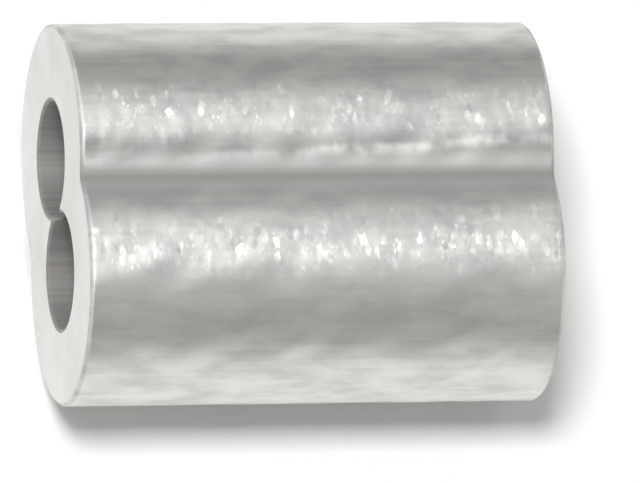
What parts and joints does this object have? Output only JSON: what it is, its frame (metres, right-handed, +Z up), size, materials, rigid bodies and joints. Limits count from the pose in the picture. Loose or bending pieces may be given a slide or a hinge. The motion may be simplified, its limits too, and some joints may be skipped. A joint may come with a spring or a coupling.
{
  "type": "wire rope crimping sleeve",
  "caption": "Hourglass crimping sleeve for wire rope: plain aluminium, with two parallel round bores that meet along a narrow neck, cut square at both ends.",
  "frame": {"origin": "centre of the sleeve, midway between the two bores and between the two ends", "axes": "+X along the bores, +Y from the tail bore to the live bore, +Z up through the thickness; the sleeve lies on its broad side"},
  "size_m": [0.0142, 0.0114, 0.0078],
  "materials": {
    "sleeve": "drawn and tumbled, satin with small bright dents; sawn ends"
  },
  "bodies": {
    "root": {"crimp_sleeve": "sleeve"}
  },
  "joints": []
}
